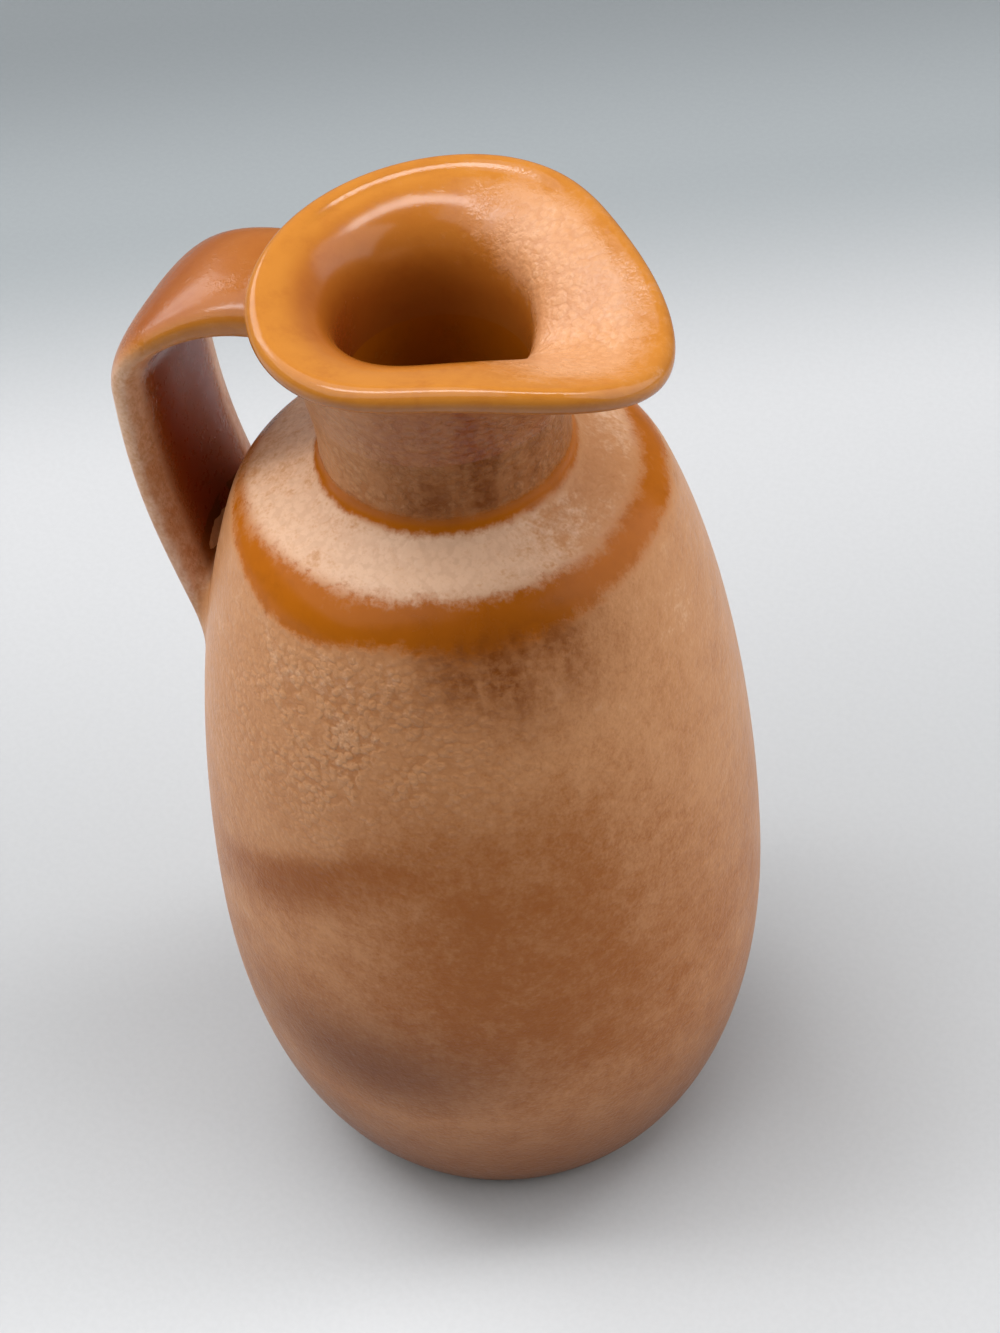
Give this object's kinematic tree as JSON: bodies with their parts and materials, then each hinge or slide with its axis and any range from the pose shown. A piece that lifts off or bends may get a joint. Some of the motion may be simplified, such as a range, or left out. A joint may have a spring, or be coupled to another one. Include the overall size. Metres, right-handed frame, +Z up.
{
  "type": "ewer",
  "caption": "Small stoneware ewer with a tall egg-shaped belly, ridged shoulder, short neck, flared lip pinched into a pouring spout, and a strap handle from lip to belly.",
  "frame": {"origin": "middle of the foot, on the surface that the ewer stands on", "axes": "+Z up along the axis of the belly, +X along the pouring spout, -X along the handle"},
  "size_m": [0.0904, 0.086, 0.1667],
  "materials": {
    "tan_glaze": "satin tan glaze with crystalline mottling, amber where it runs thin",
    "amber_glaze": "glossy amber glaze with satin tan patches"
  },
  "bodies": {
    "root": {"belly": "tan_glaze", "shoulder": "tan_glaze", "neck": "tan_glaze", "pouring_lip": "amber_glaze", "handle_strap": "amber_glaze", "upper_luting": "amber_glaze", "lower_luting": "tan_glaze"}
  },
  "joints": []
}
